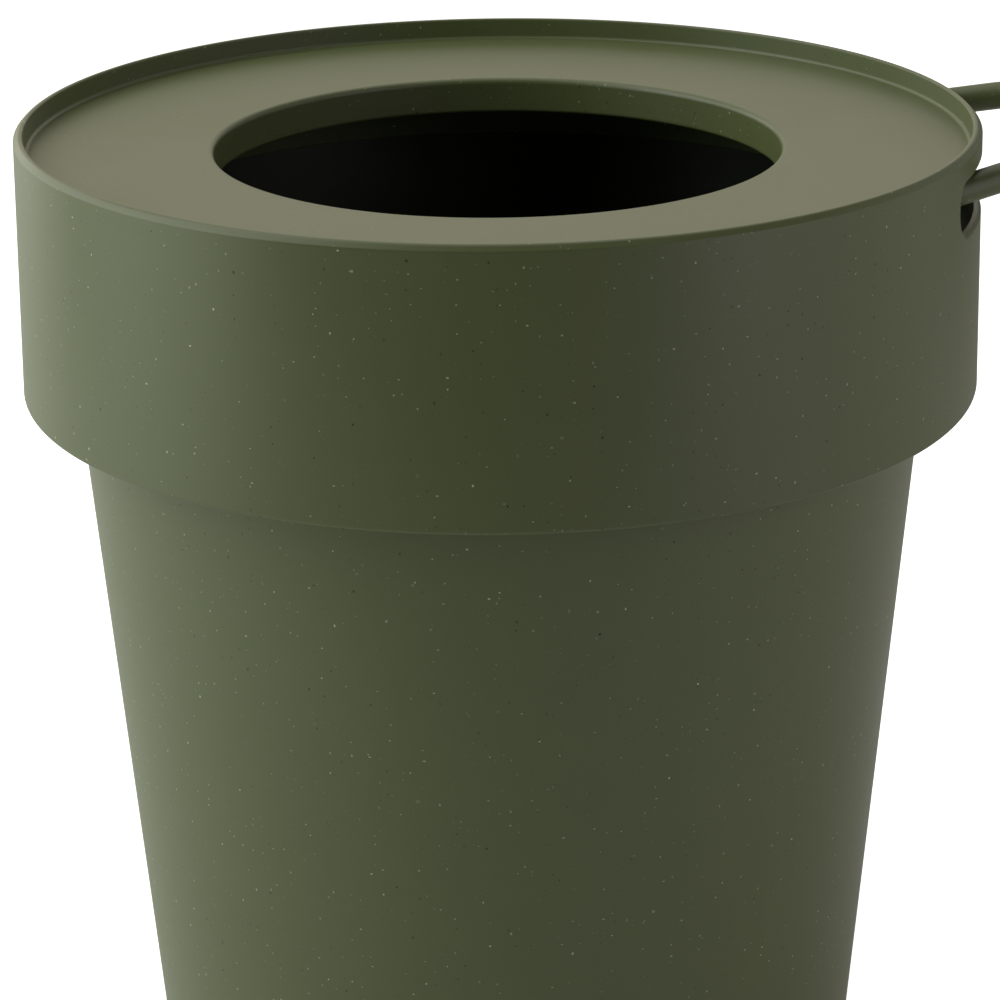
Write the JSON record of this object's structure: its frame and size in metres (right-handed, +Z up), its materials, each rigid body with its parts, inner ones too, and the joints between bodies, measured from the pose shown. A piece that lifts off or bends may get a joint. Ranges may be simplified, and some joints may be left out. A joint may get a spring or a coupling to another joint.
{
  "type": "kitchen waste bin",
  "caption": "Round tapered waste bin with a deep collar lid, a round drop opening and a loop handle hinged in the lid.",
  "frame": {"origin": "centre of the bin's foot ring, on the floor", "axes": "+Z up along the bin's axis, +X towards the loop handle, the bin is symmetric about the XZ plane"},
  "size_m": [0.2999, 0.256, 0.31],
  "materials": {
    "bucket_plastic": "matt, fine pale and dark flecks",
    "lid_plastic": "matt, fine pale and dark flecks",
    "handle_plastic": "matt, smooth"
  },
  "bodies": {
    "bucket": {"bucket": "bucket_plastic"},
    "lid": {"collar_lid": "lid_plastic"},
    "handle": {"loop_handle": "handle_plastic"}
  },
  "joints": [
    {"name": "lid_lift", "type": "slide", "parent": "bucket", "child": "lid", "axis": [0, 0, 1], "range_m": [0, 0.12]},
    {"name": "handle_tilt", "type": "hinge", "parent": "lid", "child": "handle", "pos_m": [0.107, 0, 0.2954], "axis": [0, -1, 0], "range_deg": [-21, 4.5]}
  ]
}
